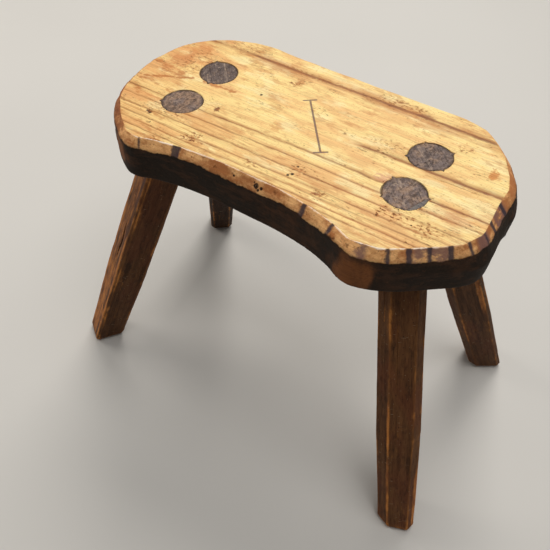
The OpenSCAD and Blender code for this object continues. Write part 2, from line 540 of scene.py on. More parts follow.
def shaved_leg(number, leg):
    """One leg and its tenon: shaved by hand, nicked along its arrises, cracked, and worn at the foot."""
    piece = copy_of(leg, leg.replace("leg_", "shaved_leg_"))
    remesh(piece, LEG_VOXEL, 2)
    random = np.random.default_rng(40 + number)
    points = points_of(piece)
    normals = normals_of(piece)
    place = in_leg(leg, points)
    free = 1 - ramp(points[:, 2], BOTTOM - 6, BOTTOM - SEAT_GAP)
    shaving = 0.4 * noise(place, (42, 11, 11), 50 + number) + 0.15 * noise(place, (12, 5, 5), 60 + number)
    points = points + normals * ((shaving - SHAVED_OFF) * free)[:, None]
    proud = sharpness(piece, 12)
    arris = np.flatnonzero((proud > 0.25) & (points[:, 2] > 12) & (points[:, 2] < BOTTOM - 15))
    for index in random.choice(arris, NICKS, replace=False):
        near = np.exp(-(np.linalg.norm((place - place[index]) / NICK_SIZE, axis=1)) ** 2)
        points = points - normals * (near * random.uniform(*NICK_DEPTHS))[:, None]
    low = np.clip(FOOT_WEAR - points[:, 2], 0, FOOT_WEAR)
    inset = FOOT_WEAR - np.sqrt(FOOT_WEAR ** 2 - low ** 2)
    offset, radius = from_axis(leg, points)
    points[:, :2] -= offset / np.maximum(radius, 1)[:, None] * (inset * ramp(radius, 6, 14))[:, None]
    ended = ramp(points[:, 2], TOP - 1.5, TOP - 0.3)
    points[:, 2] -= ended * (0.35 + 0.25 * noise(place, (4, 4, 4), 70 + number))
    keep_shape(piece, leg, points)
    carve(piece, leg_cuts(leg, piece) + tenon_checks(number, leg))
    return piece


# For each leg, its cracks: height in mm, direction round the leg in degrees, length, width and depth
LEG_CRACKS = {
    "leg_front_left": ((166, 244, 62, 4.4, 7), (235, 205, 40, 0.7, 3), (95, 300, 45, 0.5, 2.5)),
    "leg_front_right": ((262, 255, 55, 0.5, 2.5), (210, 290, 80, 0.5, 2.5), (90, 160, 60, 0.6, 3)),
    "leg_back_left": ((200, 120, 75, 0.7, 3), (110, 40, 50, 0.5, 2.5)),
    "leg_back_right": ((215, 300, 60, 0.6, 3), (120, 60, 70, 0.6, 3)),
}


def leg_cuts(leg, piece):
    """The leg's lengthwise cracks, each laid on the surface that faces its direction."""
    points = points_of(piece)
    along = leg_axes(leg)[0]
    cuts = []
    for height, direction, length, width, depth in LEG_CRACKS[leg]:
        facing = heading(direction)
        facing = unit(facing - np.dot(facing, along) * along)
        centre = FOOT[leg] + along * height / along[2]
        level = points[np.abs((points - centre) @ along) < 1.5] - centre
        sideways = np.linalg.norm(level - np.outer(level @ facing, facing), axis=1)
        surface = (level @ facing)[sideways < 2.5].max()
        cuts.append(crack(centre + facing * surface, along, facing, length, width, depth, height))
    return cuts


def tenon_checks(number, leg):
    """Drying checks that run out from the middle of the tenon's end grain."""
    random = np.random.default_rng(90 + number)
    heart = TENON[leg] + np.array([*random.uniform(-3, 3, 2), 0])
    first = random.uniform(0, 360)
    cuts = []
    for i in range(CHECKS):
        direction = heading(first + 360 / CHECKS * i + random.uniform(-18, 18))
        length = random.uniform(*CHECK_LENGTHS)
        width = random.uniform(*CHECK_WIDTHS)
        middle = heart + direction * (CHECK_START + length / 2)
        cuts.append(crack(middle, direction, (0, 0, 1), length, width, CHECK_DEPTH, 100 + i))
    return cuts


def driven_sliver():
    """The thin wedge driven in beside the front right tenon."""
    piece = copy_of(SLIVER, "driven_sliver")
    remesh(piece, SLIVER_VOXEL, 2)
    points = points_of(piece)
    normals = normals_of(piece)
    ended = ramp(points[:, 2], TOP - 1.2, TOP - 0.2)
    points[:, 2] -= ended * (0.25 + 0.15 * noise(points, 3, 5))
    points = points + normals * (0.05 * noise(points, (6, 2, 2), 6) - 0.05)[:, None]
    keep_shape(piece, SLIVER, points)
    return piece


# ======== Material helpers ========

def colour(red, green, blue):
    """A colour given from 0 to 255 as seen on a screen, as Blender's linear colour."""
    def linear(value):
        share = value / 255
        return share / 12.92 if share <= 0.04045 else ((share + 0.055) / 1.055) ** 2.4
    return (linear(red), linear(green), linear(blue), 1.0)


def adds(operation, swapped=False):
    """A method of Value that adds a math node for this operation."""
    def method(self, other=0.0):
        first, second = (other, self) if swapped else (self, other)
        return self.graph.math(operation, first, second)
    return method


class Value:
    """What one node gives out. Arithmetic on it adds math nodes to its graph."""

    def __init__(self, graph, socket):
        self.graph = graph
        self.socket = socket

    __add__ = adds("ADD")
    __radd__ = adds("ADD", swapped=True)
    __sub__ = adds("SUBTRACT")
    __rsub__ = adds("SUBTRACT", swapped=True)
    __mul__ = adds("MULTIPLY")
    __truediv__ = adds("DIVIDE")
    __abs__ = adds("ABSOLUTE")
    at_least = adds("MAXIMUM")
    at_most = adds("MINIMUM")

    def between(self, low, high):
        """0 at low, 1 at high, smooth between and flat beyond. Low may be the greater."""
        inputs = {"Value": self, "From Min": low, "From Max": high}
        return self.graph.output("ShaderNodeMapRange", "Result", inputs, interpolation_type="SMOOTHSTEP")

    def hump(self, centre, half_width):
        """1 at the centre, falling to 0 at half_width to each side."""
        return abs(self - centre).between(half_width, 0.0)


class Graph:
    """A material's node tree, with a short method for each kind of node that the materials use."""

    def __init__(self, name):
        self.material = bpy.data.materials.new(name)
        self.material.use_nodes = True
        self.tree = self.material.node_tree
        self.tree.nodes.clear()
        self.shader = self.tree.nodes.new("ShaderNodeBsdfPrincipled")
        surface = self.tree.nodes.new("ShaderNodeOutputMaterial")
        self.tree.links.new(self.shader.outputs[0], surface.inputs[0])

    def feed(self, node, inputs):
        """Links each value that a node gives out into the named input, and sets the rest as they are."""
        for name, value in inputs.items():
            if isinstance(value, Value):
                self.tree.links.new(value.socket, node.inputs[name])
            else:
                node.inputs[name].default_value = value

    def output(self, kind, name, inputs, **settings):
        """One output of a new node with these inputs and settings."""
        node = self.tree.nodes.new(kind)
        for key, value in settings.items():
            setattr(node, key, value)
        self.feed(node, inputs)
        return Value(self, node.outputs[name])

    def math(self, operation, first, second=0.0):
        return self.output("ShaderNodeMath", 0, {0: first, 1: second}, operation=operation)

    def number(self, name):
        """A number that a piece stores at each vertex."""
        return self.output("ShaderNodeAttribute", "Fac", {}, attribute_name=name)

    @functools.cached_property
    def place(self):
        """Where a point lies in its piece's own axes, in millimetres, with the grain along X."""
        return self.output("ShaderNodeAttribute", "Vector", {}, attribute_name="grain")

    def split(self, vector):
        """The vector's three numbers."""
        first = self.output("ShaderNodeSeparateXYZ", 0, {0: vector})
        return [Value(self, socket) for socket in first.socket.node.outputs]

    def join(self, x, y, z=0.0):
        return self.output("ShaderNodeCombineXYZ", 0, {0: x, 1: y, 2: z})

    def vectors(self, operation, first, second=(0, 0, 0)):
        result = "Value" if operation in ("LENGTH", "DISTANCE") else "Vector"
        return self.output("ShaderNodeVectorMath", result, {0: first, 1: second}, operation=operation)

    def length(self, x, y):
        """The length of a flat vector."""
        return self.vectors("LENGTH", self.join(x, y))

    def noise(self, size, detail=2.0, roughness=0.5, shift=0.0, place=None):
        """Noise from 0 to 1 with bumps this far apart: along X and across it, or along X, Y and Z."""
        place = place or self.place
        if shift:
            place = self.vectors("ADD", place, (shift, shift, shift))
        scaled = self.vectors("DIVIDE", place, (*size, size[-1])[:3])
        inputs = {"Vector": scaled, "Scale": 1.0, "Detail": detail, "Roughness": roughness}
        return self.output("ShaderNodeTexNoise", "Fac", inputs)

    def mix(self, first, second, share, blend="MIX"):
        """The first colour where the share is 0; the second, or its blend with the first, where it is 1."""
        inputs = {"Factor": share, 6: first, 7: second}
        return self.output("ShaderNodeMix", 2, inputs, data_type="RGBA", blend_type=blend)

    def curve(self, value, stops):
        """A number looked up in a list of (position from 0 to 1, result)."""
        result = self.output("ShaderNodeValToRGB", 0, {0: value})
        elements = result.socket.node.color_ramp.elements
        while len(elements) > 1:
            elements.remove(elements[-1])
        for i, (position, shade) in enumerate(stops):
            stop = elements[0] if i == 0 else elements.new(position)
            stop.position = position
            stop.color = (shade, shade, shade, 1.0)
        return result

    def finish(self, coat, roughness, height, specular):
        """Feeds the shader: its colour, its roughness, and a bump whose height is in millimetres."""
        bump = self.output("ShaderNodeBump", 0, {"Distance": MM, "Height": height})
        self.feed(self.shader, {
            "Base Color": coat.colour, "Roughness": roughness, "Normal": bump,
            "Specular IOR Level": specular,
        })
        return self.material


class Coat:
    """Colours laid one over another."""

    def __init__(self, graph, base):
        self.graph = graph
        self.colour = base

    def paint(self, shade, share):
        """Lays a shade on: not at all where the share is 0, and covering wholly where it is 1."""
        self.colour = self.graph.mix(self.colour, shade, share)

    def darken(self, share):
        """Takes away this share of the light that the colour gives back."""
        left = 1 - share
        grey = self.graph.output("ShaderNodeCombineColor", 0, {0: left, 1: left, 2: left})
        self.colour = self.graph.mix(self.colour, grey, 1.0, "MULTIPLY")


# ======== Materials ========

# The slab was cut above its tree's pith: how far above, the pith's Y, its drift along X, and the taper
PITH_BELOW = 100.0
PITH_Y = 40.0
PITH_DRIFT = 0.02
TRUNK_TAPER = 0.007
# How far the rings stray in long waves and in ripples
RING_SWAY = 7.0
RING_RIPPLE = 3.6
# Radius and darkness of each year's latewood, from the pith outwards
YEARS = (
    (74, 0.8), (92, 0.8), (106.6, 1.0), (120.4, 0.95), (128.1, 0.8),
    (137.2, 0.85), (145, 0.75), (150.9, 0.75), (156.2, 0.75), (160.9, 0.75),
)
YEAR_SPAN = (60.0, 170.0)
# Distances from a year's radius, and how dark its latewood is there
YEAR_EDGES = ((-2.1, 0.0), (-0.4, 1.0), (0.5, 0.0))
# The year whose line, in front of the pith, dies out towards the left, and the X over which it does
DYING_YEAR = 106.6
DYING_FROM = (62.0, 44.0)

PALE_PINE = colour(253, 222, 148)
PEACH_PINE = colour(234, 178, 114)
PALE_GLEAM = colour(255, 242, 184)
LATEWOOD = colour(164, 102, 48)
LATEWOOD_CORE = colour(118, 64, 30)
STAIN = colour(190, 118, 58)
FLECK = colour(108, 62, 30)
BEVEL_TAN = colour(255, 199, 134)
BEVEL_BROWN = colour(178, 114, 68)
BEVEL_RED = colour(138, 74, 40)
BAND_BLACK = colour(56, 50, 60)
BAND_TINT = colour(124, 92, 88)
SIDE_DARK = colour(41, 29, 19)
SIDE_WORN = colour(82, 52, 32)
SIDE_BROWN = colour(132, 80, 42)
UNDERSIDE = colour(112, 76, 46)
# Near white of the front arris: rubbed wood with a painted highlight on it
RUBBED_AND_HIGHLIGHT = colour(255, 236, 212)
PIT_DARK = colour(52, 34, 24)
SCRIBED = colour(104, 78, 78)
END_DARK = colour(70, 52, 46)

# Dark knots on the bevel: X, Y, Z and radius
BEVEL_SPOTS = (
    (9.2, -83.8, 338.3, 2.3),
    (14.5, -84.4, 338.6, 1.6),
    (6.5, -82.6, 340.4, 1),
    (12, -85.6, 336.4, 1.3),
    (-14, -83.2, 338, 0.9),
)

# The scribed line on the top, with a short tick across each end: two ends of each stroke in X and Y
STROKES = (
    ((-16, 40), (33, -21)),
    ((-20.7, 36.2), (-11.3, 43.8)),
    ((28.3, -24.8), (37.7, -17.2)),
)
# Brown smears dragged across the grain near the left end
SMEARS = (
    ((-174, -16), (-157, -7)),
    ((-157, -7), (-132, 6)),
    ((-118, 8), (-84, 10)),
)

# x, y, half length along the grain, half width, strength and colour of single marks on the top
MARKS = (
    (167.5, 34, 5.5, 11, 0.85, (206, 128, 54)),
    (163, -34, 16, 9, 0.45, (212, 146, 94)),
    (-129.5, -59, 4, 3.4, 1, (48, 32, 26)),
    (57.5, -67.5, 5, 2.4, 0.8, (140, 70, 40)),
    (-80, -21, 3.5, 5.5, 0.9, (124, 70, 34)),
    (-18, -13, 7, 9, 0.5, (206, 132, 66)),
    (-40, 60, 5, 11, 0.5, (196, 128, 66)),
    (95, -20, 9.5, 6.5, 0.85, (222, 170, 128)),
    (-156, 52, 15, 11, 0.6, (212, 136, 74)),
    (-163, 26, 14, 17, 0.6, (208, 132, 76)),
    (-146, 5, 9, 6, 0.7, (188, 112, 58)),
    (86, 77, 9, 5, 0.7, (124, 84, 60)),
    (143, 76, 12, 3.5, 0.6, (130, 84, 66)),
    (171, 10, 4, 1.8, 0.8, (90, 60, 60)),
    (-165, -78, 16, 9, 0.55, (198, 124, 92)),
    (-100, 12, 22, 9, 0.5, (236, 178, 120)),
    (-95, -40, 34, 12, 0.45, (228, 164, 100)),
)

# x, y, half length, half width and strength of patches of small dark specks on the top
SPECKLED = (
    (-42, 55, 9, 9, 1), (-70, -67, 13, 9, 1), (-150, 30, 18, 30, 0.5), (120, -55, 20, 8, 1),
    (60, -66, 7, 5, 0.8), (30, -52, 7, 9, 0.7), (-8, -68, 12, 5, 0.7), (-110, -50, 26, 6, 0.6),
    (60, 83, 30, 8, 0.7), (-40, 76, 60, 5, 0.6), (134, 53, 10, 6, 0.8), (150, -55, 14, 10, 0.8),
    (-96, -88, 20, 6, 0.7), (-120, 82, 30, 9, 0.5), (80, 22, 30, 8, 0.4),
)


def years(graph):
    """How dark the growth rings make each place, from 0 to 1: slow to darken outwards, then a sharp edge."""
    x, y, z = graph.split(graph.place)
    sway = graph.noise((150, 60), 1) - 0.5
    ripple = graph.noise((18, 7), 4, 0.66) - 0.5
    from_pith = y - PITH_Y - x * PITH_DRIFT + sway * RING_SWAY + ripple * RING_RIPPLE
    radius = graph.length(from_pith, z + (PITH_BELOW - TOP)) + x * TRUNK_TAPER
    low, high = YEAR_SPAN
    stops = [
        ((year + offset - low) / (high - low), dark * share)
        for year, dark in YEARS for offset, share in YEAR_EDGES
    ]
    dying = radius.hump(DYING_YEAR, 9) * x.between(*DYING_FROM) * y.between(PITH_Y + 5, PITH_Y - 5)
    return graph.curve((radius - low) / (high - low), stops) * (1 - dying)


def to_strokes(graph, strokes):
    """How far each place on the top is from the nearest of the strokes."""
    x, y, _ = graph.split(graph.place)
    nearest = FAR
    for start, end in strokes:
        length = math.dist(start, end)
        ux, uy = (end[0] - start[0]) / length, (end[1] - start[1]) / length
        rx, ry = x - start[0], y - start[1]
        along = (rx * ux + ry * uy).at_least(0).at_most(length)
        nearest = graph.length(rx - along * ux, ry - along * uy).at_most(nearest)
    return nearest


def in_holes(graph, holes):
    """1 in each hole, given as X, Y, Z and radius, and 0 outside."""
    ragged = (graph.noise((1.6, 1.6), 3, 0.6, 500) - 0.5) * 0.9
    nearest = FAR
    for *middle, radius in holes:
        nearest = (graph.vectors("DISTANCE", graph.place, middle) / radius).at_most(nearest)
    return (nearest + ragged).between(1.35, 0.85)


def pine_top(graph, fibre, latewood):
    """The top's colour, and where its dark dashes and scribed strokes are."""
    x, y, _ = graph.split(graph.place)
    forward = y.between(10, -90)
    leftward = x.between(-70, -175)
    drift = graph.noise((64, 20), 5, 0.62, 215)
    warmth = forward * 0.14 + leftward * 0.42 + drift.between(0.44, 0.6) * 0.65
    wood = Coat(graph, PALE_PINE)
    wood.paint(PEACH_PINE, warmth.at_most(1))
    wood.paint(PALE_GLEAM, graph.noise((40, 15), 5, 0.6, 280).between(0.5, 0.64) * 0.5)
    halo = y.hump(74, 17) * graph.noise((34, 10), 3).between(0.38, 0.64)
    wood.paint(STAIN, halo * 0.7)
    mottle = graph.noise((26, 9), 5, 0.68, 40).between(0.52, 0.66)
    wood.paint(STAIN, mottle * (0.45 + leftward * 0.4))
    for mx, my, half_x, half_y, strength, shade in MARKS:
        ragged = graph.noise((1.1 * half_x, 0.7 * half_y), 5, 0.72, mx)
        distance = graph.length((x - mx) / half_x, (y - my) / half_y) + (ragged - 0.5) * 3.4
        wood.paint(colour(*shade), distance.between(1, 0.5) * strength)
    rag = graph.noise((5, 4), 4, 0.7, 150) - 0.5
    smear = (to_strokes(graph, SMEARS) + rag * 9).between(2.6, 0.6)
    wood.paint(STAIN, smear * 0.85)
    fade = graph.noise((44, 9), 3, 0.6).between(0.36, 0.58)
    wood.paint(LATEWOOD, latewood * (0.55 + fade * 0.45))
    core = latewood.between(0.5, 0.95) * drift.between(0.34, 0.54)
    wood.paint(LATEWOOD_CORE, core * 0.7)
    wood.darken(fibre.between(0.4, 0.7) * 0.24)
    glaze = graph.noise((50, 2.6), 3, 0.6, 170).between(0.52, 0.66)
    wood.paint(STAIN, glaze * (0.15 + forward * 0.4))
    wood.paint(STAIN, graph.noise((3.4, 2.2), 3, 0.65, 260).between(0.58, 0.68) * 0.5)
    dashes = graph.noise((4.6, 1.4), 2, 0.6, 90).between(0.6, 0.67)
    clusters = graph.noise((26, 12), 1, 0.5, 130).between(0.5, 0.66)
    dashes = dashes * (clusters + latewood * 0.5) * 0.8
    speckled = graph.number("speckled")
    spots = graph.noise((3.8, 2.4), 3, 0.62, 60)
    wood.paint(STAIN, spots.between(0.46, 0.58) * speckled * 0.7)
    dashes = dashes.at_least(spots.between(0.55, 0.63) * speckled)
    wood.paint(FLECK, dashes * 0.85)
    scribed = to_strokes(graph, STROKES).between(1.2, 0.6) * fibre.between(0.2, 0.45)
    holes = in_holes(graph, [(hx, hy, TOP, radius) for hx, hy, radius in WORM_HOLES])
    wood.paint(PIT_DARK, holes * 0.95)
    wood.paint(SCRIBED, scribed * 0.85)
    return wood, dashes, scribed


def pine_bevel(graph, fibre):
    """The bevel's colour: tan and brown, a little different on each flat, with dark bands across it."""
    blotch = graph.noise((13, 13, 7), 4, 0.65, 25)
    x, y, _ = graph.split(graph.place)
    waist = x.hump(-5, 85) * y.between(-30, -60)
    left_end = x.between(-126, -160)
    right_end = x.between(165, 185) * y.between(-50, -35)
    tone = blotch + graph.number("flat_tone") * 0.05 + waist * 0.11 + left_end * 0.3 + right_end * 0.2
    wood = Coat(graph, BEVEL_TAN)
    wood.paint(BEVEL_BROWN, tone.between(0.4, 0.7))
    wood.paint(STAIN, fibre.between(0.35, 0.6) * 0.35)
    wood.paint(BEVEL_RED, left_end * blotch.between(0.34, 0.56) * 0.75)
    gouges = graph.noise((2.4, 2.4, 7), 3, 0.6, 370).between(0.5, 0.6)
    wood.paint(FLECK, gouges * left_end * 0.65)
    wood.paint(BEVEL_BROWN, graph.noise((2.6, 2.6), 4, 0.7, 230).between(0.54, 0.64) * 0.6)
    wood.paint(FLECK, graph.noise((6, 6, 4), 4, 0.7, 240).between(0.6, 0.68) * 0.7)
    wood.darken(graph.number("above_ridge").between(3.5, 0) * 0.25)
    wood.paint(BAND_TINT, graph.number("tint") * blotch.between(0.34, 0.5) * 0.8)
    ragged = (graph.noise((3, 3, 5), 3, 0.6) - 0.5) * 3
    band = (graph.number("to_band") + ragged).between(1.1, -1)
    wood.paint(BAND_BLACK, band * 0.9)
    wood.paint(PIT_DARK, in_holes(graph, BEVEL_SPOTS))
    return wood, band


def pine_side(graph, fibre, latewood, normal_z):
    """The side's dark finish, rubbed through here and there, and the bare wood of the underside."""
    streaks = graph.noise((11, 11, 26), 5, 0.68, 75)
    share = graph.number("bare_side")
    bare = ((streaks - 0.5) * 2.4 + share * 1.4).between(0, 1.1) * share.between(0, 0.7)
    side = Coat(graph, SIDE_DARK)
    side.paint(SIDE_WORN, graph.noise((34, 34, 12), 4, 0.66, 350).between(0.46, 0.64) * 0.55)
    side.paint(SIDE_BROWN, bare)
    side.paint(SIDE_BROWN, graph.noise((3, 3), 3, 0.6, 95).between(0.6, 0.72) * 0.12)
    side.darken(fibre.between(0.4, 0.7) * 0.3)
    sawn = graph.noise((2.2, 60, 2.2), 2, 0.5, 12)
    under = Coat(graph, UNDERSIDE)
    under.darken(sawn.between(0.4, 0.7) * 0.3)
    under.darken(latewood.between(0.2, 0.9) * 0.35)
    under.darken(streaks.between(0.4, 0.65) * 0.3)
    side.paint(under.colour, normal_z.between(-0.6, -0.85))
    return side


def pine():
    """The seat's old pine: ringed and stained on top, with a tan, banded bevel and nearly black sides."""
    graph = Graph("old_pine")
    x, y, z = graph.split(graph.place)
    below_top = TOP - z
    normal_z = graph.split(graph.output("ShaderNodeNewGeometry", "True Normal", {}))[2]
    fibre = graph.noise((40, 0.9), 3, 0.65)
    latewood = years(graph)
    rim, inside, ridge = (graph.number(name) for name in ("to_rim", "inside", "above_ridge"))
    top, dashes, scribed = pine_top(graph, fibre, latewood)
    top.paint(END_DARK, rim.between(0.4, -0.4) * 0.8)
    pitted = inside.between(2.5, 4) * below_top.between(0.9, 1.8)
    top.paint(PIT_DARK, pitted * normal_z.between(-0.5, 0.2))
    bevel, band = pine_bevel(graph, fibre)
    wood = pine_side(graph, fibre, latewood, normal_z)

    wander = (graph.noise((9, 9), 4, 0.6, 15) - 0.5) * 5
    wood.paint(bevel.colour, (ridge + wander).between(-0.6, 0.6))
    on_top = inside.between(-0.3, 0.3) * below_top.between(14, 10)
    wood.paint(top.colour, on_top)
    # Painted highlight over real rubbing: a thin near-white line along the front arris, brightest from x 100
    # on and about x -85
    run = graph.noise((12, 12), 4, 0.7, 81)
    thin = 0.15 + run.between(0.38, 0.62) * 0.85
    rubbed = abs(inside + 0.15).between(thin, thin * 0.4)
    brightest = x.between(100, 122).at_least(x.hump(-85, 45))
    front = y.between(-50, -80) * x.between(-124, -112) * (0.65 + brightest * 0.35)
    rubbed = rubbed * front * (1 - band) * ridge.between(3, 5)
    wood.paint(RUBBED_AND_HIGHLIGHT, rubbed * 0.9)
    wood.paint(BEVEL_TAN, (ridge + wander).hump(0.8, 1.2) * run.between(0.5, 0.6) * 0.2)

    off_top = 1 - on_top
    roughness = 0.42 + fibre * 0.2 + dashes * 0.2 + off_top * 0.3
    height = latewood * on_top * 0.1 + fibre * 0.16 + graph.noise((3, 1.4)) * 0.12
    height = height - scribed * 0.3 - dashes * 0.22
    height = height + off_top * graph.noise((4, 4), 3, 0.6) * 0.35
    return graph.finish(wood, roughness, height, 0.24)


HARDWOOD = colour(118, 77, 44)
HARDWOOD_DARK = colour(74, 44, 22)
HARDWOOD_RED = colour(120, 66, 40)
HARDWOOD_WORN = colour(228, 148, 70)
HARDWOOD_BARE = colour(168, 98, 56)
# Dark brown for grime specks and for painted shade
GRIME_AND_SHADE = colour(34, 23, 16)
PALE_SCRATCH = colour(214, 188, 156)


def hardwood():
    """The legs' brown hardwood: streaked along the grain, grimy, darkened by painted shade (most on the back
    legs and under the seat), and golden where its arrises are worn.
    """
    graph = Graph("leg_hardwood")
    along = graph.split(graph.place)[0]
    streak = graph.noise((70, 4.2), 4, 0.62)
    broad = graph.noise((60, 26), 2, 0.5, 20)
    pores = graph.noise((9, 0.6), 2, 0.6, 35)
    blotch = graph.noise((16, 7), 5, 0.66, 55)
    wood = Coat(graph, HARDWOOD)
    wood.paint(HARDWOOD_DARK, streak.between(0.34, 0.74))
    wood.paint(HARDWOOD_RED, broad.between(0.45, 0.62) * 0.45)
    wood.darken(pores.between(0.46, 0.66) * 0.38)
    wood.darken(blotch.between(0.5, 0.66) * 0.35)
    wood.paint(GRIME_AND_SHADE, graph.noise((3.2, 2.2), 2, 0.5, 200).between(0.68, 0.74) * 0.8)
    # Painted shade: the whole leg darkened by its stored share, most on the back legs that stand under the
    # seat
    wood.darken(graph.number("tone"))
    proud = graph.number("proud")
    rag = (graph.noise((7, 2.2), 4, 0.7, 66) - 0.5) * 0.9
    run = graph.noise((38, 30), 2, 0.6, 77).between(0.5, 0.66)
    glow = (proud + rag * 0.8).between(-0.06, 0.34)
    wood.paint(HARDWOOD_WORN, glow * (0.05 + run * 0.2))
    worn = (proud + rag).between(0.2, 0.44)
    wood.paint(HARDWOOD_WORN, worn * (0.06 + run * 0.4))
    patchy = graph.noise((20, 3.2), 5, 0.68, 120)
    bare = graph.number("bare")
    streaked = (bare + (patchy - 0.5) * 2.4).between(0.1, 1) * bare.between(0, 0.3)
    wood.paint(HARDWOOD_BARE, bare.between(0, 0.7) * 0.45)
    wood.paint(HARDWOOD_WORN, streaked * 0.68)
    # Darker in the leg's hollows
    wood.paint(GRIME_AND_SHADE, proud.between(-0.12, -0.5) * 0.9)
    scratch = graph.noise((0.9, 7), 2, 0.5, 300).between(0.68, 0.74)
    scratch = scratch * graph.noise((25, 25), 1, 0.5, 310).between(0.5, 0.6)
    wood.paint(PALE_SCRATCH, scratch * 0.5)
    wood.paint(PALE_SCRATCH, graph.noise((2, 1.4), 2, 0.5, 330).between(0.72, 0.77) * 0.5)
    # Painted shadow of the seat, from 40 mm under it upwards, and darker over the last 14 mm above the foot
    near_foot = along.between(14, 2)
    seat_shadow = graph.number("height").between(BOTTOM - 40, BOTTOM)
    wood.paint(GRIME_AND_SHADE, (near_foot + seat_shadow) * 0.4)
    roughness = 0.46 + streak * 0.2 + pores * 0.2
    height = streak * 0.3 + pores * 0.22 + blotch * 0.25 - scratch * 0.15
    return graph.finish(wood, roughness, height, 0.16)


END_BROWN = colour(150, 120, 98)
END_GREY = colour(122, 104, 98)
END_BLACK = colour(54, 42, 40)
END_PALE = colour(182, 158, 136)


def end_grain():
    """The tenons' ends: grey-brown end grain with faint rings, pores, rays and a dark rim."""
    graph = Graph("tenon_end_grain")
    _, across, upward = graph.split(graph.place)
    wobble = graph.noise((7, 7), place=graph.join(across, upward)) * 2.5
    distance = graph.length(across + 7, upward + 4) + wobble
    rings = graph.math("SINE", distance * 2.6)
    blotch = graph.noise((9, 9), 3, 0.6, 10)
    tone = graph.number("tone")
    wood = Coat(graph, END_BROWN)
    wood.paint(END_GREY, (blotch + tone * 0.4 - 0.08).between(0.36, 0.62))
    wood.darken((tone - 0.2).at_least(0) * 0.9)
    wood.darken(rings.between(-0.2, 1) * 0.15)
    pores = graph.noise((2.6, 2.6), 4, 0.66, 3).between(0.5, 0.64)
    wood.paint(END_BLACK, pores * 0.6)
    turn = graph.math("ARCTAN2", across, upward)
    rays = graph.noise((1, 1), 3, 0.6, place=graph.join(turn * 9, distance * 0.22))
    wood.paint(END_PALE, rays.between(0.54, 0.66) * 0.5)
    wood.paint(END_BLACK, rays.between(0.44, 0.34) * 0.5)
    wood.paint(END_PALE, graph.noise((3, 3), 4, 0.66, 44).between(0.54, 0.68) * 0.55)
    wood.paint(END_BLACK, graph.noise((18, 5, 14), 3, 0.6, 60).between(0.5, 0.64) * 0.5)
    wood.paint(END_BLACK, graph.number("proud").between(-0.05, -0.35))
    edge = graph.number("to_rim") + (blotch - 0.5) * 8
    wood.paint(END_BLACK, edge.between(-2.4, 0.4) * 0.7)
    roughness = 0.42 + blotch * 0.2
    height = rings * 0.05 - pores * 0.2 + blotch * 0.4
    return graph.finish(wood, roughness, height, 0.24)


def sliver_wood():
    """The wedge's weathered blue-grey wood."""
    graph = Graph("sliver_grey_wood")
    streak = graph.noise((12, 0.8, 8), 3, 0.6)
    wood = Coat(graph, colour(128, 118, 110))
    wood.paint(colour(78, 76, 80), streak.between(0.38, 0.62))
    wood.paint(colour(60, 46, 40), graph.noise((2.5, 1, 2.5), 2, 0.5, 9).between(0.6, 0.7) * 0.7)
    return graph.finish(wood, 0.5 + streak * 0.2, streak * 0.4, 0.3)


def floor_finish():
    """A plain pale floor with the slightest unevenness of tone."""
    graph = Graph("pale_floor")
    place = graph.output("ShaderNodeTexCoord", "Object", {})
    finish = Coat(graph, colour(214, 212, 208))
    finish.paint(colour(204, 202, 198), graph.noise((0.6, 0.6), place=place))
    return graph.finish(finish, 0.85, 0, 0.2)


# ======== What the materials read ========

# Where the bevel's dark bands cross it, in plan, and their widths
BANDS = (
    (-110, -95, 2), (-74, -88.5, 8.2), (56.5, -86.8, 4.5), (86, -92, 3.5),
    (135.6, -91.7, 3.2), (149.4, -83.8, 4.5), (162, -74.6, 3.5), (174, -63, 4.5), (184, -50, 3.4),
    (188, -33, 2.2), (188, -18.6, 4.2), (189.6, 4.6, 5),
)
# Stretches of the bevel with a purple-grey tint: middle in plan, and half length
TINTS = ((116, -99, 7), (157, -79, 8), (168, -70, 12), (188, -36, 9), (190, -3, 16))
# Places on the side where the dark finish is rubbed through: middle, radius, and how bare
BARE_SIDES = (
    ((114, -108, 316), 27, 0.8),
    ((95, -102, 316), 16, 0.3),
    ((40, -80, 316), 70, 0.24),
    ((-138, -97, 322), 21, 0.9),
    ((-188, -30, 322), 50, 0.6),
    ((-166, -72, 318), 36, 0.7),
)


def add_seat_facts(seat):
    """Stores what the seat's material reads at each vertex, besides what the hewing stored."""
    points = points_of(seat)
    keep(seat, "grain", points)
    nearest = np.min([from_axis(leg, points)[1] for leg in LEGS], axis=0)
    keep(seat, "to_rim", outside_rims(points, nearest))
    speckled = np.zeros(len(points))
    ragged = 0.5 * noise(points, 5, 7)
    for x, y, half_x, half_y, strength in SPECKLED:
        distance = np.hypot((points[:, 0] - x) / half_x, (points[:, 1] - y) / half_y) + ragged
        speckled = np.maximum(speckled, strength * (1 - ramp(distance, 0.5, 1.1)))
    keep(seat, "speckled", speckled)
    bare = np.zeros(len(points))
    ragged = 5 * noise(points, (6, 6, 14), 8)
    for middle, radius, share in BARE_SIDES:
        distance = np.linalg.norm(points - middle, axis=1) + ragged
        bare = np.maximum(bare, share * (1 - ramp(distance, 0.3 * radius, 1.1 * radius)))
    keep(seat, "bare_side", bare)


# How much painted shade darkens each leg, deepest on the back legs under the seat, and the tone of the end
# of its tenon
LEG_SHADES_AND_END_TONES = {
    "leg_front_left": (0.34, 0.02),
    "leg_front_right": (0.12, 0.24),
    "leg_back_left": (0.8, 0.54),
    "leg_back_right": (0.36, 0.36),
}
